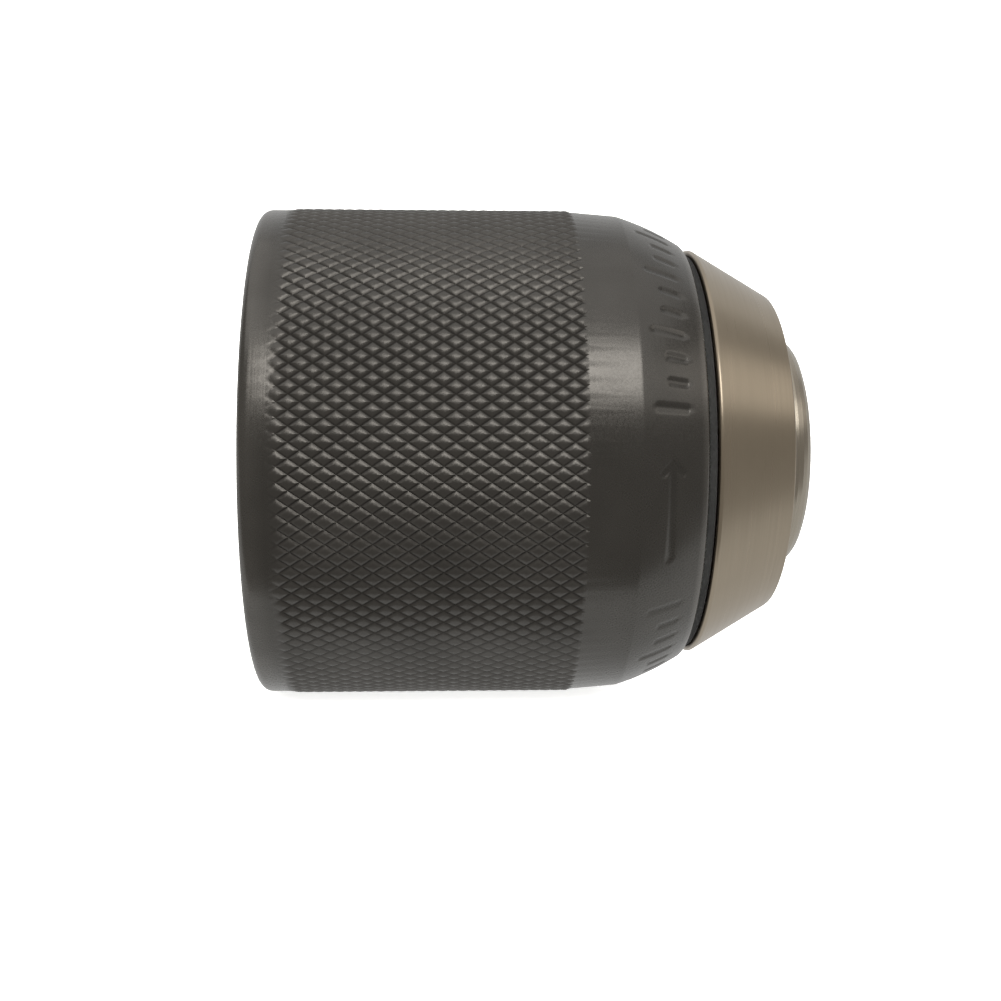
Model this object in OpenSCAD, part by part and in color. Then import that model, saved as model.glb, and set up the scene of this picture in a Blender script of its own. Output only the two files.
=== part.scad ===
// Keyless 13 mm drill chuck with one knurled locking sleeve, lying along X.
// The origin is on the chuck's axis at its rear face, and the nose points to +X.
// Every sub-part is drawn with the chuck's axis upright and then laid along X.

/* [Sleeve] */
// Diameter over the knurl's crests
sleeve_d = 43; // [42.8:0.1:44]
// Radial drop from the knurl's crests to the smooth bands
band_drop = 0.13; // [0.08:0.01:0.2]
// Distance from the rear face to the sleeve's front edge
sleeve_len = 36.4; // [36.3:0.05:36.5]
// Where the knurl begins behind
knurl_from = 2.1; // [1.6:0.1:4]
// Where the knurl ends in front
knurl_to = 26.76; // [24:0.01:27]
// Where the smooth front band ends and the taper begins
taper_from = 30.8; // [30:0.1:31]
// Radius of the slightly tapered front band at that place
taper_from_r = 21.05; // [21:0.01:21.1]
// Radius of the taper's convex crown, seen from the side
taper_crown = 24; // [20:1:60]
// Outer radius of the rounded front edge
sleeve_front_r = 18.75; // [18.6:0.05:18.8]
// Inner radius of the sleeve
sleeve_bore_r = 19.8; // [19.7:0.05:19.9]

/* [Nose] */
// Distance from the rear face to the front of the lip
chuck_len = 47; // [46.7:0.1:47.5]
// Rear face of the nose ring
nose_from = 37.25; // [37.1:0.05:37.4]
// Front face of the nose ring
nose_to = 44.35; // [43.8:0.05:44.4]
// Radius at the base of the nose ring's cone
nose_base_r = 18.1; // [17.8:0.05:18.3]
// Radius at the front of the nose ring's cone
nose_front_r = 14.25; // [14:0.05:14.6]
// Radius of the hardened lip round the mouth
lip_r = 10.5; // [10.2:0.1:11]
// Rounding of the lip's outer edge
lip_round = 1.9; // [1:0.1:2]

/* [Jaws] */
// Radius at which the gripping faces of the open jaws stand, clear of the tool bore
open_r = 6.8; // [6.75:0.05:6.85]
// Smallest shank that the closed jaws grip
tool_min = 1.5; // [1.5:0.1:2.5]
// Jaw diameter
jaw_d = 8; // [7.8:0.1:8]
// Angle between a jaw and the chuck's axis
jaw_tilt = 16; // [16:0.1:16.2]
// Where the tips of the open jaws stand
jaw_tip = 39; // [37:0.5:40]
// Where the rear ends of the open jaws stand, on their own axes
jaw_end = 4.2; // [4.2:0.1:5]
// Where the axes of the jaws cross the axis of the chuck
jaw_cross = 57.5; // [57.3:0.1:57.5]
// Clearance of a jaw in its bore
jaw_play = 0.05; // [0.03:0.01:0.08]
// Thread pitch along a jaw
thread_pitch = 1.9; // [1.8:0.05:2]
// Depth of the jaw's thread
thread_depth = 0.85; // [0.7:0.05:0.85]

/* [Bearing and lock] */
// Diameter of the thrust balls
ball_d = 1.94; // [1.9:0.01:1.95]
// Number of thrust balls
balls = 20; // [12:1:24]
// Teeth of the ratchet ring
ratchet_teeth = 72; // [60:12:72]
// Free turn of the sleeve on the nut that locks the chuck, in degrees
lock_turn = 24; // [20:1:24]

/* [Interfaces] */
// Radius of the plain wall that stands for the spindle thread
spindle_r = 6.4; // [6.35:0.01:6.45]
// Depth of the spindle socket
spindle_depth = 16; // [14:0.5:16]
// Radius of the hole for the left-hand retaining screw
screw_hole_r = 3.3; // [2.7:0.1:3.3]
// Radius of the bore that takes the tool's shank
tool_bore_r = 6.6; // [6.5:0.05:6.65]

/* [Hidden] */
$fn = 96;
eps = 0.01;
far = 60;

// Sleeve
crest_r = sleeve_d / 2;
band_r = crest_r - band_drop;
rear_round = 0.87;
bore_chamfer = 0.3;
edge_round = 0.45;

// Body: radii of its turned steps, and where they begin along the axis
hub_r = 12.9;
hub_to = 2.6;
tail_r = 14.2;
flange_from = 18;
flange_to = 20.5;
flange_r = 16.4;
seat_r = 10.5;
seat_to = 31.7;
nose_section_r = 13;
ring_seat_r = 11.8;
web_to = 19.5;
relief_from = 32;
relief_r = tool_bore_r + 0.12;
socket_chamfer = 0.4;
mouth_chamfer = 0.8;
hub_chamfer = 0.4;

// Snap rings and their grooves in the body
groove_depth = 0.7;
rear_groove_from = 0.7;
rear_groove_to = 1.35;
front_groove_from = 34.75;
front_groove_to = 35.6;
snap_play = 0.05;
rear_snap_gap = 50;
front_snap_gap = 40;

// Dished cover behind the sleeve, and the lip seal behind the nose ring
cover_from = 1.4;
cover_to = 2.5;
cover_r = 19.5;
seal_from = 35.7;
seal_to = 37.15;
seal_r = 16.5;
seal_lip_from = 36.55;
seal_lip_r = 17.7;
moulded_edge = 0.3;
nose_edge = 0.25;

// Thrust bearing, stacked forward from the flange
race_r_in = 15.1;
race_seat_r = 14.9;
race_to = flange_to + 0.8;
ball_pitch_r = 16.25;
cage_r_in = 15;
cage_r_out = 17.5;
cage_half = 0.35;
ball_play = 0.04;
washer_r_in = 15.2;
ball_at = race_to + 1;
washer_from = ball_at + 1;
washer_to = washer_from + 0.8;
bearing_r_out = 17.3;

// Split nut and its jacket
nut_from = washer_to;
nut_to = 31.5;
nut_r = 16.4;
jacket_r = 17.8;
lug_r = 18.9;
lug_from = 27;
lug_to = 29.2;
lug_half = 10;
lug_gap = 1;

// Jaw frame: w runs along the jaw's axis from where it crosses the chuck's axis, h is square to it, outwards
jaw_r = jaw_d / 2;
land_depth = tool_min / 2 - 0.03;
w_tip = (jaw_tip - jaw_cross) / cos(jaw_tilt);
w_end = (jaw_end - jaw_cross) / cos(jaw_tilt);
w_thread_to = w_tip - 7.5;
jaw_edge = 0.3;
tip_cone = 3;
tip_drop = 1.6;
root_h = jaw_r - thread_depth;
thread_arc_r = 12;

// Thread form across one pitch: the jaw's ridges stand in the nut's grooves with play on both flanks
flank = tan(20);
ridge_top = 0.42;
flank_play = 0.2;
nut_crest_h = root_h + 0.1;
nut_root_h = jaw_r + 0.12;
groove_bottom = ridge_top + 2 * flank_play - 2 * (nut_root_h - jaw_r) * flank;
thread_ref_w = -36.4;
helix_step = 10;
helix_turns = 5;

// Lock: spring band round the jacket, and the pawl that springs in behind the ratchet's teeth
tooth_tip_r = 17.75;
tooth_root_r = 17.2;
tooth_angle = 360 / ratchet_teeth;
tooth_rake = 0.3;
pawl_in_r = 18.3;
pawl_out_r = 18.7;
pawl_tip_r = 18;
pawl_lead = 0.6;
pawl_reach = 30;
pawl_from = 18.2;
pawl_to = 20.8;
spring_r_out = 18.25;
spring_from = 21.5;
spring_to = 26;
spring_gap = 24;
bracket_in_r = jacket_r + 0.15;
bracket_turn = 6;
cam_r = 18.52;
cam_at = lock_turn - 9;
cam_width = 8;
cam_from = pawl_from - 0.2;
liner_from = 26.3;
liner_to = 29.4;
liner_in_r = 18.1;
pocket_r = 19.1;

// Sleeve's front step and what it holds
bush_r = 17.6;
bush_from = 31.9;
bush_to = 34.6;
bush_play = 0.06;
step_from = 31.7;
step_to = 34.7;
front_bore_r = 16.8;

// Colours
blackened = "#3b3c3e";
satin_nickel = "#978b7c";
turned_steel = "#a8a9ab";
hardened = "#77797c";
spring_steel = "#4c5560";
bronze = "#b08d57";
black_rubber = "#1c1c1c";
black_acetal = "#2a2a2c";

// Lays an upright sub-part along X, with jaw 1 on top
module lay() rotate([0, 90, 0]) rotate([0, 0, 180]) children();

// Solid of revolution from [radius, distance along the axis] points
module turned(profile) rotate_extrude() polygon(profile);

// Plain ring between two radii and two places along the axis
module ring(r_in, r_out, from, to)
    turned([[r_in, from], [r_out, from], [r_out, to], [r_in, to]]);

// Part of a ring that begins at one angle and turns through another
module ring_sector(r_in, r_out, from, to, start, turn)
    rotate([0, 0, start]) rotate_extrude(angle = turn)
        polygon([[r_in, from], [r_out, from], [r_out, to], [r_in, to]]);

// Points of an arc about [r, a], with its angle measured from the radial direction
function arc(centre, radius, start, end, steps) =
    [for (i = [0:steps]) let (t = start + (end - start) * i / steps)
        centre + radius * [cos(t), sin(t)]];

// Point at a radius and an angle round the axis
function polar(r, t) = r * [cos(t), sin(t)];

// Direction from one point to another, measured as an arc's angle is
function turn_to(from, to) = atan2(to[1] - from[1], to[0] - from[0]);

// Centre of the taper's crown: the crown starts at the band's end and runs smoothly into the round of the front edge
band_end = [taper_from_r, taper_from];
edge_centre = [sleeve_front_r - edge_round, sleeve_len - edge_round];
chord = edge_centre - band_end;
crown_along = (2 * taper_crown * edge_round - pow(edge_round, 2) + chord * chord) / (2 * norm(chord));
crown_across = sqrt(pow(taper_crown, 2) - pow(crown_along, 2));
crown_centre = band_end + (crown_along * chord + crown_across * [-chord[1], chord[0]]) / norm(chord);
crown_to = turn_to(crown_centre, edge_centre);

// Places children in the frame of a jaw's axis at one of the three stations
module jaw_frame(station)
    rotate([0, 0, 120 * station]) translate([0, 0, jaw_cross]) rotate([0, -jaw_tilt, 0]) children();

module chuck_body() color(turned_steel) lay() difference() {
    turned(concat([
        [0, 0], [hub_r - hub_chamfer, 0], [hub_r, hub_chamfer],
        [hub_r, rear_groove_from], [hub_r - groove_depth, rear_groove_from],
        [hub_r - groove_depth, rear_groove_to], [hub_r, rear_groove_to],
        [hub_r, hub_to], [tail_r, hub_to], [tail_r, flange_from],
        [flange_r, flange_from], [flange_r, flange_to], [race_seat_r, flange_to],
        [race_seat_r, race_to], [seat_r, race_to], [seat_r, seat_to], [nose_section_r, seat_to],
        [nose_section_r, front_groove_from], [nose_section_r - groove_depth, front_groove_from],
        [nose_section_r - groove_depth, front_groove_to], [nose_section_r, front_groove_to],
        [nose_section_r, nose_from], [ring_seat_r, nose_from],
        [ring_seat_r, nose_to], [lip_r, nose_to]],
        arc([lip_r - lip_round, chuck_len - lip_round], lip_round, 0, 90, 6),
        [[0, chuck_len]]));
    translate([0, 0, -eps]) cylinder(h = spindle_depth + eps, r = spindle_r);
    cylinder(h = socket_chamfer, r1 = spindle_r + socket_chamfer, r2 = spindle_r);
    cylinder(h = far, r = screw_hole_r);
    translate([0, 0, web_to]) cylinder(h = far, r = tool_bore_r);
    translate([0, 0, relief_from]) cylinder(h = far, r = relief_r);
    translate([0, 0, chuck_len - mouth_chamfer])
        cylinder(h = mouth_chamfer + eps, r1 = relief_r, r2 = relief_r + mouth_chamfer);
    intersection() {
        for (i = [0:2]) jaw_frame(i) translate([0, 0, -far]) cylinder(h = 2 * far, r = jaw_r + jaw_play);
        translate([0, 0, hub_to]) cylinder(h = far, r = far);
    }
}

// The cone's rounded edges turn as far as the cone leans
nose_lean = atan2(nose_base_r - nose_front_r, nose_to - nose_from - 2 * nose_edge);

module nose_ring() color(satin_nickel) lay() turned(concat(
    [[ring_seat_r, nose_from]],
    arc([nose_base_r - nose_edge, nose_from + nose_edge], nose_edge, -90, nose_lean, 5),
    arc([nose_front_r - nose_edge, nose_to - nose_edge], nose_edge, nose_lean, 90, 3),
    [[ring_seat_r, nose_to]]));

module rear_cover() color(black_acetal) lay() turned([
    [hub_r, cover_from], [cover_r - moulded_edge, cover_from], [cover_r, cover_from + moulded_edge],
    [cover_r, cover_to], [hub_r, cover_to]]);

// Open ring with its gap centred on angle zero
module snap_ring(r_in, r_out, from, to, gap)
    ring_sector(r_in, r_out, from, to, gap / 2, 360 - gap);

module rear_snap_ring() color(spring_steel) lay()
    snap_ring(hub_r - groove_depth, hub_r + 1.2, rear_groove_from + snap_play, rear_groove_to, rear_snap_gap);

module front_snap_ring() color(spring_steel) lay()
    snap_ring(nose_section_r - groove_depth, nose_section_r + 1.6,
        front_groove_from + snap_play, front_groove_to - 2 * snap_play, front_snap_gap);

module front_seal() color(black_rubber) lay() turned([
    [nose_section_r, seal_from], [seal_r - moulded_edge, seal_from], [seal_r, seal_from + moulded_edge],
    [seal_r, seal_lip_from], [seal_lip_r, seal_lip_from], [seal_lip_r, seal_to], [nose_section_r, seal_to]]);

// Saw teeth that rise steeply and fall away slowly with the angle
module ratchet_ring() color(hardened) lay() difference() {
    translate([0, 0, flange_from]) linear_extrude(race_to - flange_from)
        polygon([for (i = [0:ratchet_teeth - 1], side = [0, 1])
            polar(side == 0 ? tooth_root_r : tooth_tip_r, i * tooth_angle + tooth_rake * side)]);
    translate([0, 0, flange_from - eps]) cylinder(h = flange_to - flange_from + eps, r = flange_r);
    cylinder(h = far, r = race_r_in);
}

// Places children at each ball's station round the bearing
module at_balls()
    for (i = [0:balls - 1]) rotate([0, 0, (i + 0.5) * 360 / balls]) translate([ball_pitch_r, 0, ball_at])
        children();

module bearing_balls() color(hardened) lay() at_balls() sphere(d = ball_d);

module ball_cage() color(bronze) lay() difference() {
    ring(cage_r_in, cage_r_out, ball_at - cage_half, ball_at + cage_half);
    at_balls() cylinder(h = 4 * cage_half, r = ball_d / 2 + ball_play, center = true);
}

module thrust_washer() color(hardened) lay() ring(washer_r_in, bearing_r_out, washer_from, washer_to);

// Radius of the jaw frame's line at height h, where it passes the distance a along the chuck's axis
function cone_r(h, a) = (jaw_cross - a) * tan(jaw_tilt) + h / cos(jaw_tilt);

// Point of the jaw frame's w and h, turned to an angle round the chuck's axis
function on_cone(w, h, t) =
    let (r = h * cos(jaw_tilt) - w * sin(jaw_tilt))
        [r * cos(t), r * sin(t), jaw_cross + w * cos(jaw_tilt) + h * sin(jaw_tilt)];

// Helical groove that climbs the inside of the nut by one pitch a turn
module nut_groove() {
    steps = helix_turns * 360 / helix_step;
    low_h = nut_crest_h - 0.3;
    half_low = groove_bottom / 2 + (nut_root_h - low_h) * flank;
    half_high = groove_bottom / 2;
    corners = [[-half_low, low_h], [half_low, low_h], [half_high, nut_root_h], [-half_high, nut_root_h]];
    points = [for (i = [0:steps], c = corners) let (t = i * helix_step)
        on_cone(thread_ref_w + thread_pitch * t / 360 + c[0], c[1], t)];
    walls = [for (i = [0:steps - 1], k = [0:3]) let (a = 4 * i + k, b = 4 * i + (k + 1) % 4)
        each [[a, a + 4, b], [b, a + 4, b + 4]]];
    last = 4 * steps;
    polyhedron(points, concat([[0, 1, 2], [0, 2, 3]], walls,
        [[last, last + 2, last + 1], [last, last + 3, last + 2]]));
}

// One half of the split nut, on one side of the joint plane
module nut_half(side) lay() intersection() {
    difference() {
        turned([[cone_r(nut_crest_h, nut_from), nut_from], [nut_r, nut_from], [nut_r, nut_to],
            [cone_r(nut_crest_h, nut_to), nut_to]]);
        nut_groove();
    }
    translate([side > 0 ? eps : -far - eps, -far, 0]) cube([far, 2 * far, far]);
}

module nut_half_1() color(hardened) nut_half(1);

module nut_half_2() color(hardened) nut_half(-1);

module nut_jacket() color(turned_steel) lay() {
    ring(nut_r, jacket_r, nut_from, nut_to);
    for (i = [0:2]) ring_sector(jacket_r - 0.3, lug_r, lug_from, lug_to, 120 * i - lug_half, 2 * lug_half);
}

// Band round the jacket, with the bracket that carries the pawl's root
module lock_spring() color(spring_steel) lay() {
    snap_ring(jacket_r, spring_r_out, spring_from, spring_to, spring_gap);
    ring_sector(bracket_in_r, pawl_out_r, pawl_from, spring_from + 1, -pawl_reach - bracket_turn, bracket_turn - 0.1);
}

// Springy finger whose tip bends in between the ratchet's teeth
module lock_pawl() color(spring_steel) lay() translate([0, 0, pawl_from]) linear_extrude(pawl_to - pawl_from)
    polygon(concat(
        [for (i = [0:10]) polar(pawl_out_r, -pawl_reach + i * pawl_reach / 10)],
        [polar(pawl_tip_r, -pawl_lead), polar(pawl_tip_r, -2 * pawl_lead)],
        [for (i = [9:-1:0]) polar(pawl_in_r, -pawl_reach + i * pawl_reach / 10)]));

module knurled_sleeve() color(blackened) lay() turned(concat(
    [[sleeve_bore_r + bore_chamfer, 0]],
    arc([band_r - rear_round, rear_round], rear_round, -90, 0, 6),
    [[band_r, knurl_from], [crest_r, knurl_from + band_drop], [crest_r, knurl_to - band_drop],
        [band_r, knurl_to]],
    arc(crown_centre, taper_crown, turn_to(crown_centre, band_end), crown_to - 1, 6),
    arc(edge_centre, edge_round, crown_to, 90, 4),
    [[front_bore_r, sleeve_len], [front_bore_r, step_to], [bush_r, step_to], [bush_r, step_from],
        [bush_r + 1, step_from], [sleeve_bore_r, liner_to], [sleeve_bore_r, bore_chamfer]]));

// Ring pressed in the sleeve: its dogs turn the nut's jacket, and its cam bends the pawl in
module drive_liner() color(turned_steel) lay() {
    ring(pocket_r, sleeve_bore_r, liner_from, liner_to);
    dog_from = lug_half + lug_gap + lock_turn;
    dog_to = 120 - lug_half - lug_gap;
    for (i = [0:2])
        ring_sector(liner_in_r, pocket_r + 0.3, liner_from, liner_to, 120 * i + dog_from, dog_to - dog_from);
    ring_sector(cam_r, sleeve_bore_r, cam_from, liner_from + 0.5, cam_at, cam_width);
}

module guide_bush() color(black_acetal) lay() ring(nose_section_r + bush_play, bush_r, bush_from, bush_to);

// Comb of grooves, of the nut's own radius, that leaves the ridges on a jaw's back
module jaw_thread(phase) {
    half_low = (thread_pitch - ridge_top) / 2 - thread_depth * flank;
    half_high = half_low + 2 * thread_depth * flank;
    first = ceil((w_end - thread_ref_w - phase) / thread_pitch - 1);
    last = floor((w_thread_to - thread_ref_w - phase) / thread_pitch);
    translate([root_h - thread_arc_r, 0, 0]) turned(concat(
        [for (n = [first:last]) let (w = thread_ref_w + phase + (n + 0.5) * thread_pitch)
            each [[thread_arc_r + 2 * thread_depth, w - half_high], [thread_arc_r, w - half_low],
                [thread_arc_r, w + half_low], [thread_arc_r + 2 * thread_depth, w + half_high]]],
        [[thread_arc_r + 3, w_thread_to + 1], [thread_arc_r + 3, w_end - 2]]));
}

// Section square to the chuck's axis of what the gripping faces leave out: two faces at 120 degrees and a flat land
module grip_gap() {
    apex = open_r - land_depth;
    half = land_depth * tan(60);
    flat_end = 12;
    polygon([[open_r, half], [apex + flat_end, flat_end * tan(60)], [-far, far], [-far, -far],
        [apex + flat_end, -flat_end * tan(60)], [open_r, -half]]);
}

// A jaw in its open place, with its thread a third of a pitch on from the last jaw's
module jaw(station) color(hardened) lay() difference() {
    jaw_frame(station) difference() {
        turned([[0, w_end], [jaw_r - jaw_edge, w_end], [jaw_r, w_end + jaw_edge], [jaw_r, w_tip - tip_cone],
            [jaw_r - tip_drop, w_tip + 2], [0, w_tip + 2]]);
        jaw_thread(thread_pitch * station / 3);
    }
    rotate([0, 0, 120 * station]) {
        linear_extrude(far) grip_gap();
        translate([-far / 2, -far / 2, jaw_tip]) cube(far);
    }
}

module jaw_1() jaw(0);

module jaw_2() jaw(1);

module jaw_3() jaw(2);

chuck_body();
nose_ring();
rear_cover();
rear_snap_ring();
front_snap_ring();
front_seal();
ratchet_ring();
bearing_balls();
ball_cage();
thrust_washer();
nut_half_1();
nut_half_2();
nut_jacket();
lock_spring();
lock_pawl();
knurled_sleeve();
drive_liner();
guide_bush();
jaw_1();
jaw_2();
jaw_3();
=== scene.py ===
"""Keyless drill chuck: knurled sleeve, spindle thread, finishes and studio, over the fixed CAD frame."""
import math
import bpy
import numpy as np
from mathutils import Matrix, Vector


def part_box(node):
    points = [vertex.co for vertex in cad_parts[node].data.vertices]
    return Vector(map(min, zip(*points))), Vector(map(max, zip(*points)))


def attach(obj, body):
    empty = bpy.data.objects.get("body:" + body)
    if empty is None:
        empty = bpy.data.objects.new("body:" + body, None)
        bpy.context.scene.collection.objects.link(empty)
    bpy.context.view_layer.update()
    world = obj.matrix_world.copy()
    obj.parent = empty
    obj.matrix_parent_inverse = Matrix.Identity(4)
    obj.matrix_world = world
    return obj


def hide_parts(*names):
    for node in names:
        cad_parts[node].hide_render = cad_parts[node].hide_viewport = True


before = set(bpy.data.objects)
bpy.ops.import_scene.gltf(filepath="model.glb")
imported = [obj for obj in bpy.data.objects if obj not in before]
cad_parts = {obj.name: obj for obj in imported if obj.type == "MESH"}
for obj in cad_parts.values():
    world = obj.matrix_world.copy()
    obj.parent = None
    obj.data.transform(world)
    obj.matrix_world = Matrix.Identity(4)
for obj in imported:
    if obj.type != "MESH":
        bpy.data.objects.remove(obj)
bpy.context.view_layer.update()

bl_info = {
    "name": "Drill Chuck",
    "version": (1, 0, 0),
    "blender": (4, 5, 0),
    "location": "View3D > Sidebar > Chuck",
    "description": "Builds the visual pieces and finishes of a keyless drill chuck",
    "category": "Object",
}

SLEEVE_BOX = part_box("knurled_sleeve")
BODY_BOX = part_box("chuck_body")
MM = 0.001

HARDENED_NODES = ("nut_half_1", "nut_half_2", "thrust_washer", "ratchet_ring")
SPRING_NODES = ("rear_snap_ring", "front_snap_ring", "lock_spring", "lock_pawl")
JAW_NODES = ("jaw_1", "jaw_2", "jaw_3")

# Steps of the sleeve's grid across one knurl diamond, along the axis and round the turn alike
CELL = 6


def linear(code):
    """Turns an sRGB hex colour into the linear red, green, blue and alpha that nodes take."""
    srgb = [int(code[i:i + 2], 16) / 255 for i in (1, 3, 5)]
    return [c / 12.92 if c <= 0.04045 else ((c + 0.055) / 1.055) ** 2.4 for c in srgb] + [1.0]


def length(name, description, default_mm):
    """Property for a size, given in millimetres and kept in metres."""
    return bpy.props.FloatProperty(
        name=name, description=description, default=default_mm * MM, precision=5,
        subtype="DISTANCE", unit="LENGTH")


def colour(name, description, code):
    """Property for a colour, given as sRGB hex."""
    return bpy.props.FloatVectorProperty(
        name=name, description=description, default=linear(code), size=4, subtype="COLOR",
        min=0.0, max=1.0)


class SleeveSettings(bpy.types.PropertyGroup):
    """Sizes of the knurled sleeve's turned profile, its knurl and its engraved marks"""
    band_drop: length("Band drop", "Radial drop from the knurl's crests to the smooth bands", 0.13)
    rear_round: length("Rear round", "Rounding of the rear rim", 0.87)
    rim_wall: length("Rim chamfer", "Chamfer at the mouth of the rear bore", 0.3)
    knurl_from: length("Knurl from", "Distance from the rear face to the knurl", 2.1)
    knurl_to: length("Knurl to", "Distance from the rear face to the knurl's front end", 26.76)
    knurl_pitch: length("Knurl pitch", "Length of one diamond along the axis", 1.8)
    knurl_depth: length("Knurl depth", "Depth of the grooves between diamonds", 0.18)
    knurl_fade: length("Knurl fade", "Length over which the knurl runs out behind", 1.3)
    knurl_stop: length("Knurl stop", "Length over which the knurl ends in front", 0.35)
    knurl_starts: bpy.props.IntProperty(
        name="Knurl starts", description="Grooves of each hand round the sleeve",
        default=110, min=60, max=140)
    knurl_bevel: length("Knurl bevel", "Fall of a diamond's crest towards its edges", 0.065)
    knurl_crown: bpy.props.FloatProperty(
        name="Knurl crown", description="Share of the bevel's fall that begins near the crest's middle",
        default=0.3, min=0.0, max=0.5)
    taper_from: length("Taper from", "Where the front band ends and the taper begins", 30.8)
    taper_from_r: length("Taper's rear radius", "Radius of the front band where it ends", 21.05)
    taper_crown: length("Taper's crown", "Radius of the taper's convex curve, seen from the side", 24.0)
    front_r: length("Front radius", "Outer radius of the rounded front edge", 18.75)
    edge_round: length("Edge round", "Rounding of the front edge", 0.45)
    mark_from: length("Marks from", "Rear end of the engraved marks", 32.1)
    mark_to: length("Marks to", "Front end of the engraved marks", 34.4)
    mark_depth: length("Mark depth", "Depth of the engraved marks", 0.1)
    mark_width: length("Mark width", "Width of an engraved stroke", 0.42)
    mark_margin: length("Mark margin", "Plain taper kept on both sides of the marks", 0.35)


class SocketSettings(bpy.types.PropertyGroup):
    """Sizes of the spindle thread inside the rear socket"""
    major_r: length("Major radius", "Radius at the thread's roots", 6.38)
    minor_r: length("Minor radius", "Radius at the thread's crests", 5.66)
    pitch: length("Pitch", "Thread pitch, 20 threads to the inch", 1.27)
    depth: length("Depth", "Length of thread from the rear face", 15.2)


class FinishSettings(bpy.types.PropertyGroup):
    """Colours of the chuck's finishes"""
    oxide: colour("Black oxide", "Sleeve's black oxide", "#5b5956")
    nickel: colour("Satin nickel", "Nose ring's champagne nickel", "#aa9e8c")
    steel: colour("Turned steel", "Body's bright turned steel", "#ada597")
    hardened: colour("Hardened steel", "Hardened nut, washers and ratchet", "#77777a")
    jaw: colour("Jaw steel", "Ground jaws", "#8a8883")
    blued: colour("Blued spring steel", "Rings, spring and pawl", "#4d5665")
    ball: colour("Ball steel", "Polished bearing balls", "#cfcfd0")
    brass: colour("Brass", "Stamped ball cage", "#c09a4e")
    rubber: colour("Nitrile rubber", "Lip seal behind the nose ring", "#222221")
    acetal: colour("Black acetal", "Rear cover and front bush", "#232325")
    pale: colour("Pale floor", "Floor and backdrop", "#f4f4f3")


class StageSettings(bpy.types.PropertyGroup):
    """Camera and light"""
    distance: length("Camera distance", "From the camera to the chuck's axis", 125.0)
    aim: length("Aim", "Where the view's centre meets the axis", 20.9)
    yaw: bpy.props.FloatProperty(
        name="Yaw", description="Turn of the nose away from the camera", default=math.radians(2.73),
        subtype="ANGLE", unit="ROTATION")
    lens: bpy.props.FloatProperty(
        name="Focal length", description="Lens for a 36 mm sensor", default=49.49, unit="CAMERA")
    drop: bpy.props.FloatProperty(
        name="Shift", description="Vertical shift that frames the chuck above the middle", default=-0.05)


# ---- surfaces ----------------------------------------------------------------------------------------

def mesh_piece(name, points, faces, finish, body, sharp):
    """Puts arrays of points and of equal-sided faces into a mesh, and lets it ride on a CAD body.
    Edges sharper than the angle in degrees stay creased, and the rest are shaded smooth."""
    mesh = bpy.data.meshes.new(name)
    mesh.vertices.add(len(points))
    mesh.vertices.foreach_set("co", np.ascontiguousarray(points, np.float32).ravel())
    mesh.loops.add(faces.size)
    mesh.loops.foreach_set("vertex_index", np.ascontiguousarray(faces, np.int32).ravel())
    mesh.polygons.add(len(faces))
    mesh.polygons.foreach_set("loop_start", np.arange(0, faces.size, faces.shape[1], dtype=np.int32))
    mesh.update(calc_edges=True)
    mesh.shade_smooth()
    mesh.set_sharp_from_angle(angle=math.radians(sharp))
    mesh.materials.append(finish)
    piece = bpy.data.objects.new(name, mesh)
    bpy.context.scene.collection.objects.link(piece)
    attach(piece, body)
    return piece


def store(piece, name, values):
    """Keeps one number for each point of a piece, for its material to read."""
    layer = piece.data.attributes.new(name, "FLOAT", "POINT")
    layer.data.foreach_set("value", np.ascontiguousarray(values, np.float32).ravel())


def turned(x, r, angle):
    """Points of a surface of revolution about the X axis: the sine of the angle times the radius is Y, and
    the cosine is Z, so angle zero is on top."""
    x, r, angle = np.broadcast_arrays(x, r, angle)
    return np.stack([x, r * np.sin(angle), r * np.cos(angle)], axis=-1)


def arc(x, r, radius, start, end, steps):
    """Points of a rounding about (x, r): the sine of the angle goes along the axis and the cosine outwards,
    from the start angle to the end angle in even steps."""
    t = np.radians(np.linspace(start, end, steps + 1))
    return np.column_stack([x + radius * np.sin(t), r + radius * np.cos(t)])


def loop_triangles(rows, columns, other_diagonal):
    """Triangles over a grid that closes on itself both ways. Each cell is cut along one diagonal, or along
    the other one where the array says so. They face outward where the rows run from the rear to the front
    on the outside and the columns run from the top towards positive Y."""
    i, j = np.meshgrid(np.arange(rows), np.arange(columns), indexing="ij")
    a = i * columns + j
    b = (i + 1) % rows * columns + j
    c = (i + 1) % rows * columns + (j + 1) % columns
    d = i * columns + (j + 1) % columns
    straight = np.stack([a, b, c, a, c, d], axis=-1)
    crossed = np.stack([a, b, d, b, c, d], axis=-1)
    return np.where(other_diagonal[..., None], crossed, straight).reshape(-1, 3)


def to_nearest(k, period):
    """Distance in whole steps from k to the nearest multiple of the period."""
    k = k % period
    return np.minimum(k, period - k)


def smooth_step(t):
    """Eases from 0 to 1 as t goes from 0 to 1: three t squared less two t cubed."""
    t = np.clip(t, 0, 1)
    return t * t * (3 - 2 * t)


def stroke(u, v, start, end, width):
    """Depth from 0 to 1 of an engraved stroke between two points: 1 on its middle line, falling to 0 at half
    its width, by the distance from the nearest point of the line."""
    start, along = np.array(start), np.array(end) - np.array(start)
    t = ((u - start[0]) * along[0] + (v - start[1]) * along[1]) / np.dot(along, along)
    t = np.clip(t, 0, 1)
    away = np.hypot(u - start[0] - t * along[0], v - start[1] - t * along[1])
    return smooth_step(1.6 * (1 - away / width))


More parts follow.
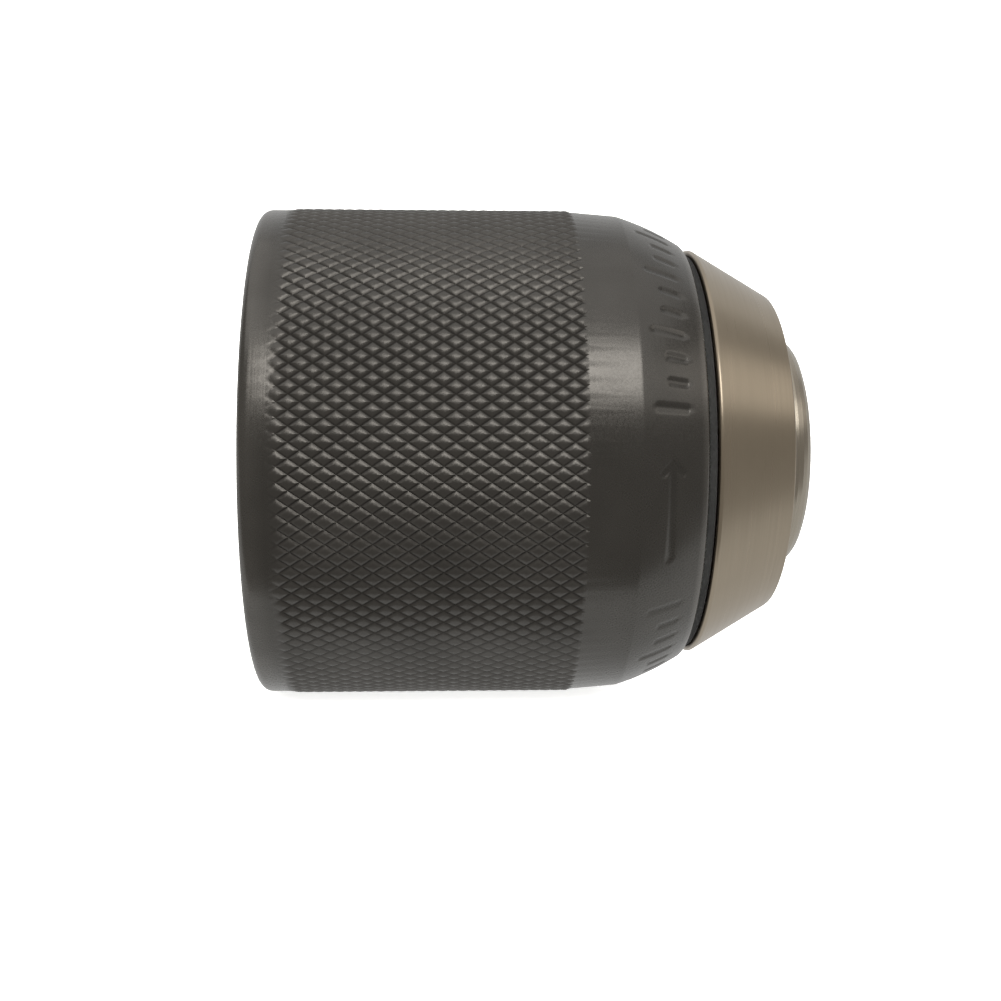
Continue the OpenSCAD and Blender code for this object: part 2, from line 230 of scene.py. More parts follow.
def marks(x, angle, s):
    """Depth from 0 to 1 of the engraved row: in each third of the turn a long plain arrow that shows the
    closing hand, and beside it a run of scale strokes, every third one long. u is the distance round the
    taper within a third of a turn, v the distance along the axis, and strokes stand on whole columns."""
    radius = 0.5 * (s.front_r + s.taper_from_r)
    third = math.tau / 3
    column = radius * math.tau / (CELL * s.knurl_starts)
    u = (angle % third) * radius
    low, high = s.mark_from, s.mark_to
    middle = 0.5 * (low + high)
    head = 0.36 * (high - low)
    tail, tip = 10 * column, 50 * column
    depth = stroke(u, x, (tail, middle), (tip, middle), s.mark_width)
    for side in (-1, 1):
        barb = stroke(u, x, (tip - head, middle + side * head), (tip, middle), s.mark_width)
        depth = np.maximum(depth, barb)
    first, spacing, strokes = 72, 11, 13
    short = low + 0.45 * (high - low)
    for k in range(strokes):
        place = (first + spacing * k) * column
        top = low if k % 3 == 0 else short
        depth = np.maximum(depth, stroke(u, x, (place, top), (place, high), s.mark_width))
    return depth


def sleeve_profile(s):
    """Closed section of the sleeve as [x, r] rows, with the rows of each of its stretches.
    The taper is an arc that runs smoothly into the round of the front edge: its centre lies one crown radius
    from the band's end, and one crown radius less the edge's round from the centre of that round."""
    reach = SLEEVE_BOX[1].x
    band = SLEEVE_BOX[1].z - s.band_drop
    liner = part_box("drive_liner")
    bore = liner[1].z
    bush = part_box("guide_bush")
    seat = bush[1].z
    step = bush[0].x - 0.2 * MM
    lip = bush[1].x + 0.1 * MM
    mouth_r, step_r = seat - 0.8 * MM, seat + 1.0 * MM
    band_end = np.array([s.taper_from, s.taper_from_r])
    edge = np.array([reach - s.edge_round, s.front_r - s.edge_round])
    chord = edge - band_end
    along = (2 * s.taper_crown * s.edge_round - s.edge_round ** 2 + chord @ chord) / (2 * np.hypot(*chord))
    across = math.sqrt(s.taper_crown ** 2 - along ** 2)
    crown = band_end + (along * chord + across * np.array([chord[1], -chord[0]])) / np.hypot(*chord)
    lean = math.atan2(*(edge - crown))

    def on_taper(start, end, steps):
        x = np.linspace(start, end, steps)
        return np.column_stack([x, crown[1] + np.sqrt(s.taper_crown ** 2 - (x - crown[0]) ** 2)])

    rows = round((s.knurl_to - s.knurl_from) / (s.knurl_pitch / CELL))
    mark_from, mark_to = s.mark_from - s.mark_margin, s.mark_to + s.mark_margin
    crown_end = crown[0] + s.taper_crown * math.sin(lean)
    nearly = 0.12 * MM
    slope = (s.taper_from_r - band) / (s.taper_from - s.knurl_to)
    stretches = {
        "mouth": np.array([[s.rim_wall, bore], [0.0, bore + s.rim_wall]]),
        "rear_rim": arc(s.rear_round, band - s.rear_round, s.rear_round, -90, 0, 6),
        "knurl": np.column_stack([np.linspace(s.knurl_from, s.knurl_to, rows + 1), np.full(rows + 1, band)]),
        "band": np.array([band_end - [nearly, slope * nearly], band_end]),
        "shoulder": on_taper(s.taper_from + nearly, mark_from, 4)[:-1],
        "marks": on_taper(mark_from, mark_to, 25),
        "front_taper": on_taper(mark_to, crown_end, 4)[1:-1],
        "front_rim": arc(*edge, s.edge_round, math.degrees(lean), 90, 5),
        "inside": np.array([[reach, mouth_r], [lip, mouth_r], [lip, seat], [step, seat], [step, step_r],
                            [liner[1].x, bore]]),
    }
    starts = np.cumsum([0] + [len(stretch) for stretch in stretches.values()])
    places = {name: slice(*ends) for name, ends in zip(stretches, zip(starts, starts[1:]))}
    return np.vstack(list(stretches.values())), places


def make_sleeve(s, finish):
    """Sleeve as one closed surface. Six steps make a diamond each way, and a point's place in the two
    crossed families of grooves is the sum and the difference of its row and its column: where either is a
    multiple of six the point is in the bottom of a groove, one or two steps away it is on the bevel of a
    diamond's edge, and three away on its crest."""
    section, places = sleeve_profile(s)
    columns = CELL * s.knurl_starts
    rows = len(section)
    angle = np.arange(columns) * math.tau / columns
    x = section[:, :1]
    i, j = np.meshgrid(np.arange(rows) - places["knurl"].start, np.arange(columns), indexing="ij")
    groove = np.minimum(to_nearest(i + j, CELL), to_nearest(i - j, CELL))
    inside = np.zeros((rows, 1))
    inside[places["knurl"]] = 1
    grown = smooth_step((x - s.knurl_from) / s.knurl_fade) * smooth_step((s.knurl_to - x) / s.knurl_stop)
    grown = grown * inside
    sunk = np.select([groove == 0, groove == 1, groove == 2],
                     [s.knurl_depth, s.knurl_bevel, s.knurl_crown * s.knurl_bevel], 0.0)
    height = grown * (s.band_drop - sunk)
    etched = np.zeros((rows, columns))
    etched[places["marks"]] = marks(x[places["marks"]], angle[None, :], s)
    points = turned(x, section[:, 1:] + height - s.mark_depth * etched, angle[None, :])
    falling = to_nearest(i + j + 1, CELL)
    rising = to_nearest(i - j, CELL)
    crossed = (falling < rising) & (falling < 2) & (inside > 0)
    piece = mesh_piece("sleeve_shell", points.reshape(-1, 3), loop_triangles(rows, columns, crossed),
                       finish, "sleeve", 24)
    # Wear with a painted highlight: the diamonds' edges and both rims are lightened, the front rim most,
    # partly to stand in for light that these edges catch
    wear_and_highlight = grown * np.where(groove == 1, 0.3, 0.0)
    wear_and_highlight[places["rear_rim"]] = 1.0
    wear_and_highlight[places["front_rim"]] = 1.6
    store(piece, "wear_and_highlight", wear_and_highlight)
    # Painted shade: the groove bottoms and, at half strength, the engraved marks are darkened to stand in
    # for shade in these recesses
    store(piece, "painted_recess_shade", np.maximum(grown * np.where(groove == 0, 1.0, 0.0), 0.5 * etched))
    store(piece, "rolled", np.broadcast_to(grown, etched.shape))
    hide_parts("knurled_sleeve")


def make_thread(s, finish):
    """Spindle thread as one closed helical ridge. The section is a trapezium from the root's radius in to
    the crest's, and it moves one pitch along the axis for each turn. Its height runs out at both ends."""
    steps_a_turn = 64
    run_out = 0.35
    turns = (s.depth - 1.4 * MM) / s.pitch
    t = np.linspace(0, turns, round(turns * steps_a_turn) + 1)
    root, crest = 0.5 * s.pitch, 0.11 * s.pitch
    along = np.array([-root, -crest, crest, root])
    up = np.array([0.0, 1.0, 1.0, 0.0])
    grown = smooth_step(t / run_out) * smooth_step((turns - t) / run_out)
    start = BODY_BOX[0].x + 0.9 * MM
    x = start + s.pitch * t[:, None] + along * np.where(up > 0, 1.0, 0.98)
    r = s.major_r - (s.major_r - s.minor_r) * up * (0.02 + 0.98 * grown[:, None])
    points = turned(x, r, math.tau * t[:, None])
    k = np.arange(len(t) - 1)[:, None] * 4
    a = k + np.arange(4)
    b = k + (np.arange(4) + 1) % 4
    walls = np.stack([a, a + 4, b + 4, b], axis=-1).reshape(-1, 4)
    last = 4 * (len(t) - 1)
    faces = np.vstack([walls, [[0, 1, 2, 3], [last + 3, last + 2, last + 1, last]]])
    mesh_piece("spindle_thread", points.reshape(-1, 3), faces, finish, "frame", 35)


# ---- finishes ----------------------------------------------------------------------------------------

# Places of the colour sockets on a mix node, whose names repeat
FACTOR, FIRST, SECOND, RESULT = 0, 6, 7, 2


def add(tree, kind, inputs=None, out=0, **settings):
    """Adds one node with its settings and hands back one of its outputs. A socket among the inputs is
    linked, and anything else becomes the input's own value."""
    made = tree.nodes.new(kind)
    for name, value in settings.items():
        setattr(made, name, value)
    for name, value in (inputs or {}).items():
        if isinstance(value, bpy.types.NodeSocket):
            tree.links.new(value, made.inputs[name])
        else:
            made.inputs[name].default_value = value
    return made.outputs[out] if made.outputs else None


def empty_finish(name):
    """New material with an empty node tree."""
    finish = bpy.data.materials.new(name)
    finish.use_nodes = True
    finish.node_tree.nodes.clear()
    return finish, finish.node_tree


def scaled(base, factor):
    """Colour made lighter or darker by a factor."""
    return [min(1.0, c * factor) for c in base[:3]] + [1.0]


def black_oxide_steel(f):
    """Turned and knurled steel, blackened in a hot salt bath and oiled: a warm satin dark grey with faint
    clouds in the oxide and fine turning lines. The rolled diamonds are duller than the turned bands. Their
    grooves and the engraved marks are darkened as painted shade, and the rims and the diamonds' edges are
    lightened as wear with a painted highlight, most on the front rim."""
    finish, tree = empty_finish("black_oxide_steel")
    place = add(tree, "ShaderNodeTexCoord", out="Object")
    clouds = add(tree, "ShaderNodeTexNoise", {"Vector": place, "Scale": 1 / (6.0 * MM), "Detail": 4.0})
    grain = add(tree, "ShaderNodeTexNoise", {"Vector": place, "Scale": 1 / (0.2 * MM), "Detail": 2.0})
    along = add(tree, "ShaderNodeMapping", {"Vector": place, "Scale": (1.0, 0.01, 0.01)})
    lines = add(tree, "ShaderNodeTexNoise", {"Vector": along, "Scale": 1 / (0.14 * MM), "Detail": 2.0})
    wear_and_highlight = add(tree, "ShaderNodeAttribute", out="Fac", attribute_name="wear_and_highlight")
    painted_recess_shade = add(tree, "ShaderNodeAttribute", out="Fac", attribute_name="painted_recess_shade")
    rolled = add(tree, "ShaderNodeAttribute", out="Fac", attribute_name="rolled")
    base = add(tree, "ShaderNodeMix", {FACTOR: clouds, FIRST: scaled(f.oxide, 0.8),
                                       SECOND: scaled(f.oxide, 1.24)}, RESULT, data_type="RGBA")
    # Wear with a painted highlight: the rims and the diamonds' edges are mixed towards a lighter oxide,
    # standing in partly for light caught by the edges
    wear_and_highlight_factor = add(tree, "ShaderNodeMath", {0: wear_and_highlight, 1: clouds}, operation="MULTIPLY")
    base = add(tree, "ShaderNodeMix", {FACTOR: wear_and_highlight_factor, FIRST: base, SECOND: scaled(f.oxide, 1.7)},
               RESULT, data_type="RGBA")
    # Painted shade: the groove bottoms and the engraved marks are mixed towards a darker oxide
    recess_shade_factor = add(tree, "ShaderNodeMath", {0: painted_recess_shade, 1: 0.38}, operation="MULTIPLY")
    base = add(tree, "ShaderNodeMix", {FACTOR: recess_shade_factor, FIRST: base, SECOND: scaled(f.oxide, 0.4)},
               RESULT, data_type="RGBA")
    bright = add(tree, "ShaderNodeMapRange", {"Value": grain, "From Min": 0.25, "From Max": 0.75,
                                              "To Min": 0.22, "To Max": 0.32})
    rough = add(tree, "ShaderNodeMath", {0: rolled, 1: 0.12, 2: bright}, operation="MULTIPLY_ADD")
    height = add(tree, "ShaderNodeMath", {0: grain, 1: 0.8, 2: lines}, operation="MULTIPLY_ADD")
    bump = add(tree, "ShaderNodeBump", {"Height": height, "Distance": 0.004 * MM})
    shader = add(tree, "ShaderNodeBsdfPrincipled", {
        "Base Color": base, "Metallic": 1.0, "Roughness": rough, "Normal": bump})
    add(tree, "ShaderNodeOutputMaterial", {"Surface": shader})
    return finish


def turned_metal(name, base_colour, line_mm, rough, depth_mm, cloud_mm):
    """Metal turned on a lathe: the tool leaves fine rings round the axis, which spread a highlight along the
    profile and keep it narrow round the turn. The plating or the oil clouds its colour a little."""
    finish, tree = empty_finish(name)
    place = add(tree, "ShaderNodeTexCoord", out="Object")
    clouds = add(tree, "ShaderNodeTexNoise", {"Vector": place, "Scale": 1 / (cloud_mm * MM), "Detail": 4.0})
    along = add(tree, "ShaderNodeMapping", {"Vector": place, "Scale": (1.0, 0.008, 0.008)})
    rings = add(tree, "ShaderNodeTexNoise", {"Vector": along, "Scale": 1 / (line_mm * MM), "Detail": 3.0})
    base = add(tree, "ShaderNodeMix", {FACTOR: clouds, FIRST: scaled(base_colour, 0.88),
                                       SECOND: scaled(base_colour, 1.06)}, RESULT, data_type="RGBA")
    base = add(tree, "ShaderNodeMix", {FACTOR: rings, FIRST: base, SECOND: scaled(base_colour, 0.88)},
               RESULT, data_type="RGBA")
    dull = add(tree, "ShaderNodeMapRange", {"Value": rings, "From Min": 0.25, "From Max": 0.75,
                                            "To Min": rough - 0.04, "To Max": rough + 0.05})
    bump = add(tree, "ShaderNodeBump", {"Height": rings, "Distance": depth_mm * MM})
    tangent = add(tree, "ShaderNodeTangent", direction_type="RADIAL", axis="X")
    shader = add(tree, "ShaderNodeBsdfPrincipled", {
        "Base Color": base, "Metallic": 1.0, "Roughness": dull, "Normal": bump, "Tangent": tangent,
        "Anisotropic": 0.45, "Anisotropic Rotation": 0.25})
    add(tree, "ShaderNodeOutputMaterial", {"Surface": shader})
    return finish


def satin_nickel(f):
    """Steel turned fine and plated with satin nickel: warm champagne grey with close, soft turning rings."""
    return turned_metal("satin_nickel", f.nickel, line_mm=0.12, rough=0.3, depth_mm=0.0012, cloud_mm=4.0)


def turned_steel(f):
    """Free-cutting steel turned on a lathe and flash plated: slightly brighter and coarser than the nose."""
    return turned_metal("turned_steel", f.steel, line_mm=0.18, rough=0.27, depth_mm=0.002, cloud_mm=6.0)


def hardened_steel(f):
    """Carburised and quenched steel: a grey scale mottled straw and grey by the heat, with the dull tooth
    that shot blasting leaves."""
    finish, tree = empty_finish("hardened_steel")
    place = add(tree, "ShaderNodeTexCoord", out="Object")
    heat = add(tree, "ShaderNodeTexNoise", {"Vector": place, "Scale": 1 / (1.6 * MM), "Detail": 6.0})
    tooth = add(tree, "ShaderNodeTexNoise", {"Vector": place, "Scale": 1 / (0.12 * MM), "Detail": 2.0})
    mottle = add(tree, "ShaderNodeMapRange", {"Value": heat, "From Min": 0.35, "From Max": 0.75})
    straw = [f.hardened[0] * 1.25, f.hardened[1] * 1.15, f.hardened[2] * 0.95, 1.0]
    base = add(tree, "ShaderNodeMix", {FACTOR: mottle, FIRST: scaled(f.hardened, 0.7), SECOND: straw},
               RESULT, data_type="RGBA")
    dull = add(tree, "ShaderNodeMapRange", {"Value": heat, "From Min": 0.25, "From Max": 0.75,
                                            "To Min": 0.3, "To Max": 0.5})
    bump = add(tree, "ShaderNodeBump", {"Height": tooth, "Distance": 0.004 * MM})
    shader = add(tree, "ShaderNodeBsdfPrincipled", {
        "Base Color": base, "Metallic": 1.0, "Roughness": dull, "Normal": bump})
    add(tree, "ShaderNodeOutputMaterial", {"Surface": shader})
    return finish


def ground_jaw_steel(f):
    """Tool steel ground lengthwise after hardening: fine scratches along the jaw and a grey oil film."""
    finish, tree = empty_finish("ground_jaw_steel")
    place = add(tree, "ShaderNodeTexCoord", out="Object")
    film = add(tree, "ShaderNodeTexNoise", {"Vector": place, "Scale": 1 / (3.0 * MM), "Detail": 4.0})
    across = add(tree, "ShaderNodeMapping", {"Vector": place, "Scale": (0.03, 1.0, 1.0)})
    scratches = add(tree, "ShaderNodeTexNoise", {"Vector": across, "Scale": 1 / (0.1 * MM), "Detail": 3.0})
    base = add(tree, "ShaderNodeMix", {FACTOR: film, FIRST: scaled(f.jaw, 0.7), SECOND: scaled(f.jaw, 1.15)},
               RESULT, data_type="RGBA")
    dark = add(tree, "ShaderNodeMath", {0: scratches, 1: 0.4}, operation="MULTIPLY")
    base = add(tree, "ShaderNodeMix", {FACTOR: dark, FIRST: base, SECOND: scaled(f.jaw, 0.7)},
               RESULT, data_type="RGBA")
    dull = add(tree, "ShaderNodeMapRange", {"Value": scratches, "From Min": 0.25, "From Max": 0.75,
                                            "To Min": 0.24, "To Max": 0.38})
    bump = add(tree, "ShaderNodeBump", {"Height": scratches, "Distance": 0.004 * MM})
    shader = add(tree, "ShaderNodeBsdfPrincipled", {
        "Base Color": base, "Metallic": 1.0, "Roughness": dull, "Normal": bump})
    add(tree, "ShaderNodeOutputMaterial", {"Surface": shader})
    return finish


def blued_spring_steel(f):
    """Spring strip tempered blue: the thin oxide drifts from slate blue to grey along the strip, over the
    fine lines that rolling left."""
    finish, tree = empty_finish("blued_spring_steel")
    place = add(tree, "ShaderNodeTexCoord", out="Object")
    drift = add(tree, "ShaderNodeTexNoise", {"Vector": place, "Scale": 1 / (5.0 * MM), "Detail": 2.0})
    along = add(tree, "ShaderNodeMapping", {"Vector": place, "Scale": (1.0, 0.02, 0.02)})
    lines = add(tree, "ShaderNodeTexNoise", {"Vector": along, "Scale": 1 / (0.1 * MM), "Detail": 2.0})
    grey = [f.blued[0] * 1.3, f.blued[1] * 1.05, f.blued[2] * 0.9, 1.0]
    base = add(tree, "ShaderNodeMix", {FACTOR: drift, FIRST: f.blued, SECOND: grey},
               RESULT, data_type="RGBA")
    dull = add(tree, "ShaderNodeMapRange", {"Value": lines, "From Min": 0.25, "From Max": 0.75,
                                            "To Min": 0.25, "To Max": 0.36})
    bump = add(tree, "ShaderNodeBump", {"Height": lines, "Distance": 0.003 * MM})
    shader = add(tree, "ShaderNodeBsdfPrincipled", {
        "Base Color": base, "Metallic": 1.0, "Roughness": dull, "Normal": bump})
    add(tree, "ShaderNodeOutputMaterial", {"Surface": shader})
    return finish


def polished_ball_steel(f):
    """Lapped bearing steel: near mirror, with a thin film of grease in patches."""
    finish, tree = empty_finish("polished_ball_steel")
    place = add(tree, "ShaderNodeTexCoord", out="Object")
    grease = add(tree, "ShaderNodeTexNoise", {"Vector": place, "Scale": 1 / (0.9 * MM), "Detail": 3.0})
    base = add(tree, "ShaderNodeMix", {FACTOR: grease, FIRST: scaled(f.ball, 0.82), SECOND: f.ball},
               RESULT, data_type="RGBA")
    dull = add(tree, "ShaderNodeMapRange", {"Value": grease, "From Min": 0.25, "From Max": 0.75,
                                            "To Min": 0.06, "To Max": 0.2})
    shader = add(tree, "ShaderNodeBsdfPrincipled", {"Base Color": base, "Metallic": 1.0, "Roughness": dull})
    add(tree, "ShaderNodeOutputMaterial", {"Surface": shader})
    return finish


def stamped_brass(f):
    """Brass strip stamped to a cage: rolling lines across it and light tarnish."""
    finish, tree = empty_finish("stamped_brass")
    place = add(tree, "ShaderNodeTexCoord", out="Object")
    tarnish = add(tree, "ShaderNodeTexNoise", {"Vector": place, "Scale": 1 / (1.8 * MM), "Detail": 5.0})
    along = add(tree, "ShaderNodeMapping", {"Vector": place, "Scale": (1.0, 1.0, 0.03)})
    lines = add(tree, "ShaderNodeTexNoise", {"Vector": along, "Scale": 1 / (0.1 * MM), "Detail": 2.0})
    clean = add(tree, "ShaderNodeMapRange", {"Value": tarnish, "From Min": 0.3, "From Max": 0.7})
    base = add(tree, "ShaderNodeMix", {FACTOR: clean, FIRST: scaled(f.brass, 0.6), SECOND: f.brass},
               RESULT, data_type="RGBA")
    dull = add(tree, "ShaderNodeMapRange", {"Value": lines, "From Min": 0.25, "From Max": 0.75,
                                            "To Min": 0.22, "To Max": 0.38})
    bump = add(tree, "ShaderNodeBump", {"Height": lines, "Distance": 0.003 * MM})
    shader = add(tree, "ShaderNodeBsdfPrincipled", {
        "Base Color": base, "Metallic": 1.0, "Roughness": dull, "Normal": bump})
    add(tree, "ShaderNodeOutputMaterial", {"Surface": shader})
    return finish


def nitrile_rubber(f):
    """Moulded nitrile rubber: matt charcoal with a faint pale bloom and the fine tooth of the mould."""
    finish, tree = empty_finish("nitrile_rubber")
    place = add(tree, "ShaderNodeTexCoord", out="Object")
    bloom = add(tree, "ShaderNodeTexNoise", {"Vector": place, "Scale": 1 / (2.5 * MM), "Detail": 5.0})
    tooth = add(tree, "ShaderNodeTexNoise", {"Vector": place, "Scale": 1 / (0.12 * MM), "Detail": 2.0})
    base = add(tree, "ShaderNodeMix", {FACTOR: bloom, FIRST: scaled(f.rubber, 0.7),
                                       SECOND: scaled(f.rubber, 1.5)}, RESULT, data_type="RGBA")
    dull = add(tree, "ShaderNodeMapRange", {"Value": tooth, "From Min": 0.25, "From Max": 0.75,
                                            "To Min": 0.65, "To Max": 0.85})
    bump = add(tree, "ShaderNodeBump", {"Height": tooth, "Distance": 0.01 * MM})
    shader = add(tree, "ShaderNodeBsdfPrincipled", {
        "Base Color": base, "Roughness": dull, "Normal": bump, "IOR": 1.52, "Specular IOR Level": 0.3})
    add(tree, "ShaderNodeOutputMaterial", {"Surface": shader})
    return finish


def black_acetal(f):
    """Moulded acetal: dense black with a low waxy sheen, faint flow marks and a fine eroded texture."""
    finish, tree = empty_finish("black_acetal")
    place = add(tree, "ShaderNodeTexCoord", out="Object")
    flow = add(tree, "ShaderNodeTexNoise", {"Vector": place, "Scale": 1 / (7.0 * MM), "Detail": 3.0})
    texture = add(tree, "ShaderNodeTexNoise", {"Vector": place, "Scale": 1 / (0.15 * MM), "Detail": 2.0})
    base = add(tree, "ShaderNodeMix", {FACTOR: flow, FIRST: scaled(f.acetal, 0.75),
                                       SECOND: scaled(f.acetal, 1.4)}, RESULT, data_type="RGBA")
    dull = add(tree, "ShaderNodeMapRange", {"Value": texture, "From Min": 0.25, "From Max": 0.75,
                                            "To Min": 0.42, "To Max": 0.58})
    bump = add(tree, "ShaderNodeBump", {"Height": texture, "Distance": 0.012 * MM})
    shader = add(tree, "ShaderNodeBsdfPrincipled", {
        "Base Color": base, "Roughness": dull, "Normal": bump, "IOR": 1.48})
    add(tree, "ShaderNodeOutputMaterial", {"Surface": shader})
    return finish


def lit_acrylic(f):
    """Translucent acrylic table lit from below: an even pale surface with hardly any grain in it."""
    finish, tree = empty_finish("lit_acrylic")
    place = add(tree, "ShaderNodeTexCoord", out="Object")
    grain = add(tree, "ShaderNodeTexNoise", {"Vector": place, "Scale": 1 / (40.0 * MM), "Detail": 2.0})
    tone = add(tree, "ShaderNodeMix", {FACTOR: grain, FIRST: scaled(f.pale, 0.99), SECOND: f.pale},
               RESULT, data_type="RGBA")
    shader = add(tree, "ShaderNodeBsdfPrincipled", {
        "Base Color": tone, "Emission Color": tone, "Emission Strength": 0.85, "Roughness": 0.7,
        "Specular IOR Level": 0.2})
    add(tree, "ShaderNodeOutputMaterial", {"Surface": shader})
    return finish


def white_card(f):
    """Matt white card under soft light, dimmer than the lit table."""
    finish, tree = empty_finish("white_card")
    place = add(tree, "ShaderNodeTexCoord", out="Object")
    fibre = add(tree, "ShaderNodeTexNoise", {"Vector": place, "Scale": 1 / (60.0 * MM), "Detail": 2.0})
    tone = add(tree, "ShaderNodeMix", {FACTOR: fibre, FIRST: scaled(f.pale, 0.94), SECOND: f.pale},
               RESULT, data_type="RGBA")
    shader = add(tree, "ShaderNodeEmission", {"Color": tone, "Strength": 0.8})
    add(tree, "ShaderNodeOutputMaterial", {"Surface": shader})
    return finish


def finish_nodes(names, finish):
    """Gives a finish to the material slots of CAD nodes, whose meshes stay as they are."""
    for name in names:
        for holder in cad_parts[name].material_slots:
            holder.material = finish


# ---- stage -------------------------------------------------------------------------------------------

def stage_sheet(name, points, finish, mirrored):
    """Sheet of the studio over a grid of points: either the table and wall that the camera sees and that
    light the room, or a card that only reflections see."""
    rows, columns = points.shape[:2]
    i, j = np.meshgrid(np.arange(rows - 1), np.arange(columns - 1), indexing="ij")
    a = (i * columns + j).ravel()
    faces = np.stack([a, a + 1, a + columns + 1, a + columns], axis=-1)
    mesh = bpy.data.meshes.new(name)
    mesh.from_pydata(points.reshape(-1, 3).tolist(), [], faces.tolist())
    mesh.shade_smooth()
    mesh.materials.append(finish)
    sheet = bpy.data.objects.new(name, mesh)
    sheet.visible_glossy = mirrored
    sheet.visible_camera = not mirrored
    sheet.visible_diffuse = not mirrored
    sheet.visible_shadow = False
    bpy.context.scene.collection.objects.link(sheet)


def softbox(name, place, towards, size_x, size_y, power, tone):
    """Soft area light at a place, facing a point."""
    lamp = bpy.data.lights.new(name, "AREA")
    lamp.shape = "RECTANGLE"
    lamp.size, lamp.size_y = size_x, size_y
    lamp.energy = power
    lamp.color = linear(tone)[:3]
    holder = bpy.data.objects.new(name, lamp)
    direction = Vector(towards) - Vector(place)
    holder.location = place
    holder.visible_camera = False
    holder.rotation_euler = direction.to_track_quat("-Z", "Y").to_euler()
    bpy.context.scene.collection.objects.link(holder)


def make_stage(s, f):
    """Pale lit table, soft lights, a dim room and the camera. The table is a disc that curves up through
    a quarter turn into a round wall. The card that reflections see lies under the chuck and rises behind."""
    ground = SLEEVE_BOX[0].z - 0.05 * MM
    bend = 0.3
    turn = np.radians(np.linspace(0, 90, 13))
    out = np.concatenate([[0.0, 0.3], 0.9 + bend * np.sin(turn), [1.2]])[:, None]
    up = np.concatenate([[0.0, 0.0], bend - bend * np.cos(turn), [1.8]])[:, None] + ground
    around = np.linspace(0, math.tau, 65)[None, :]
    bowl = np.stack(np.broadcast_arrays(out * np.cos(around), out * np.sin(around), up), axis=-1)
    stage_sheet("lit_table", bowl, lit_acrylic(f), False)
    card_front = -0.0225
    back = np.concatenate([[card_front], 0.5 + bend * np.sin(turn), [0.8]])[:, None]
    rise = np.concatenate([[0.0], bend - bend * np.cos(turn), [1.6]])[:, None] + ground
    card = np.stack(np.broadcast_arrays(np.linspace(-1.6, 1.6, 9)[None, :], back, rise), axis=-1)
    stage_sheet("reflector_card", card, white_card(f), True)
    middle = (s.aim, 0.0, 0.0)
    softbox("overhead", (0.02, -0.11, 0.62), middle, 1.3, 0.82, 1.75, "#ffffff")
    softbox("key", (0.108, -0.475, 0.339), middle, 0.445, 0.25, 1.19, "#fffdfa")
    softbox("taper_box", (0.43, -0.36, 0.26), middle, 0.36, 0.2, 0.13, "#fffdfa")
    softbox("nose_box", (0.53, -0.075, 0.23), middle, 0.3, 0.19, 0.115, "#fffaf4")
    world = bpy.data.worlds.new("dim_room")
    world.use_nodes = True
    sky = world.node_tree.nodes["Background"]
    sky.inputs["Color"].default_value = linear("#fffaf3")
    sky.inputs["Strength"].default_value = 0.34
    bpy.context.scene.world = world
    lens = bpy.data.cameras.new("camera")
    lens.sensor_width = 36.0
    lens.lens = s.lens
    lens.shift_y = s.drop
    lens.clip_start, lens.clip_end = 0.005, 10.0
    camera = bpy.data.objects.new("camera", lens)
    camera.location = (s.aim - s.distance * math.sin(s.yaw), -s.distance * math.cos(s.yaw), 0.0)
    camera.rotation_euler = (math.pi / 2, 0.0, -s.yaw)
    bpy.context.scene.collection.objects.link(camera)
    bpy.context.scene.camera = camera
    bpy.context.scene.view_settings.view_transform = "Standard"


# ---- operators ---------------------------------------------------------------------------------------

class CHUCK_OT_sleeve(bpy.types.Operator):
    """Build the knurled sleeve in place of its plain solid"""
    bl_idname = "chuck.sleeve"
    bl_label = "Knurled sleeve"

    def execute(self, context):
        make_sleeve(context.scene.chuck_sleeve, black_oxide_steel(context.scene.chuck_finish))
        return {"FINISHED"}


class CHUCK_OT_thread(bpy.types.Operator):
    """Cut the spindle thread's ridges in the rear socket"""
    bl_idname = "chuck.thread"
    bl_label = "Spindle thread"

    def execute(self, context):
        make_thread(context.scene.chuck_socket, turned_steel(context.scene.chuck_finish))
        return {"FINISHED"}


class CHUCK_OT_turned_parts(bpy.types.Operator):
    """Finish the body, the nose ring, the nut's jacket and the sleeve's liner"""
    bl_idname = "chuck.turned_parts"
    bl_label = "Turned parts"

    def execute(self, context):
        settings = context.scene.chuck_finish
        finish_nodes(("nose_ring",), satin_nickel(settings))
        finish_nodes(("chuck_body", "nut_jacket", "drive_liner"), turned_steel(settings))
        return {"FINISHED"}


class CHUCK_OT_hardened_parts(bpy.types.Operator):
    """Finish the jaws, the split nut, the ratchet, the bearing and the springs"""
    bl_idname = "chuck.hardened_parts"
    bl_label = "Hardened parts"

    def execute(self, context):
        settings = context.scene.chuck_finish
        finish_nodes(HARDENED_NODES, hardened_steel(settings))
        finish_nodes(JAW_NODES, ground_jaw_steel(settings))
        finish_nodes(SPRING_NODES, blued_spring_steel(settings))
        finish_nodes(("bearing_balls",), polished_ball_steel(settings))
        finish_nodes(("ball_cage",), stamped_brass(settings))
        return {"FINISHED"}


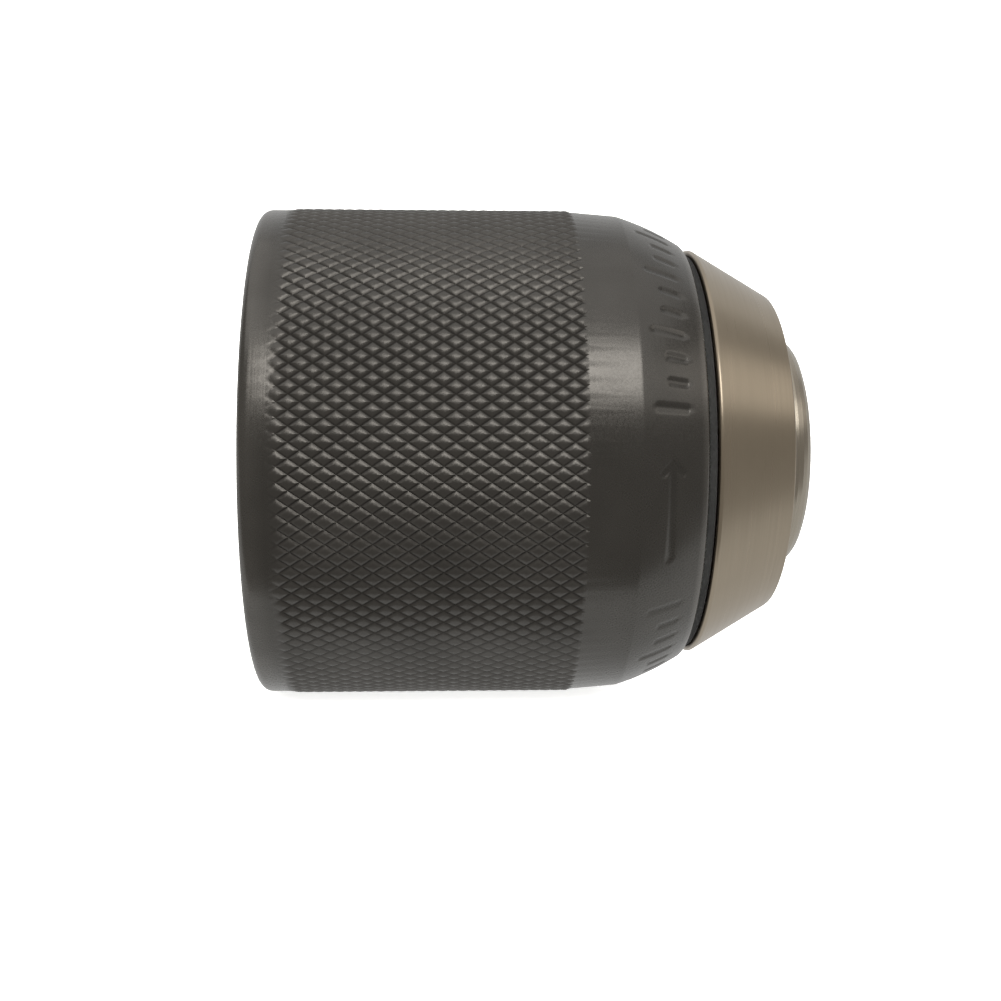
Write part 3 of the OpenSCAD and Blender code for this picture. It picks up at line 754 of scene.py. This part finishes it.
class CHUCK_OT_moulded_parts(bpy.types.Operator):
    """Finish the rear cover, the front bush and the lip seal"""
    bl_idname = "chuck.moulded_parts"
    bl_label = "Moulded parts"

    def execute(self, context):
        settings = context.scene.chuck_finish
        finish_nodes(("rear_cover", "guide_bush"), black_acetal(settings))
        finish_nodes(("front_seal",), nitrile_rubber(settings))
        return {"FINISHED"}


class CHUCK_OT_stage(bpy.types.Operator):
    """Set the pale floor, the soft lights and the camera"""
    bl_idname = "chuck.stage"
    bl_label = "Studio"

    def execute(self, context):
        make_stage(context.scene.chuck_stage, context.scene.chuck_finish)
        return {"FINISHED"}


class CHUCK_PT_panel(bpy.types.Panel):
    """Lists the chuck's pieces and their settings"""
    bl_idname = "CHUCK_PT_panel"
    bl_label = "Drill chuck"
    bl_space_type = "VIEW_3D"
    bl_region_type = "UI"
    bl_category = "Chuck"

    def draw(self, context):
        layout = self.layout
        for operator in OPERATORS:
            layout.operator(operator.bl_idname)
        for group in SETTINGS:
            settings = getattr(context.scene, group)
            box = layout.box()
            for name in SETTINGS[group].__annotations__:
                box.prop(settings, name)


SETTINGS = {
    "chuck_sleeve": SleeveSettings,
    "chuck_socket": SocketSettings,
    "chuck_finish": FinishSettings,
    "chuck_stage": StageSettings,
}
OPERATORS = (
    CHUCK_OT_sleeve, CHUCK_OT_thread, CHUCK_OT_turned_parts, CHUCK_OT_hardened_parts,
    CHUCK_OT_moulded_parts, CHUCK_OT_stage)


def register():
    """Registers the classes and puts each group of settings on the scene."""
    for group in (*SETTINGS.values(), *OPERATORS, CHUCK_PT_panel):
        bpy.utils.register_class(group)
    for name, group in SETTINGS.items():
        setattr(bpy.types.Scene, name, bpy.props.PointerProperty(type=group))


def unregister():
    """Takes the settings off the scene and unregisters the classes."""
    for name in SETTINGS:
        delattr(bpy.types.Scene, name)
    for group in reversed((*SETTINGS.values(), *OPERATORS, CHUCK_PT_panel)):
        bpy.utils.unregister_class(group)


def main():
    """Makes every piece and the stage."""
    register()
    bpy.ops.chuck.sleeve()
    bpy.ops.chuck.thread()
    bpy.ops.chuck.turned_parts()
    bpy.ops.chuck.hardened_parts()
    bpy.ops.chuck.moulded_parts()
    bpy.ops.chuck.stage()


if __name__ == "__main__":
    main()
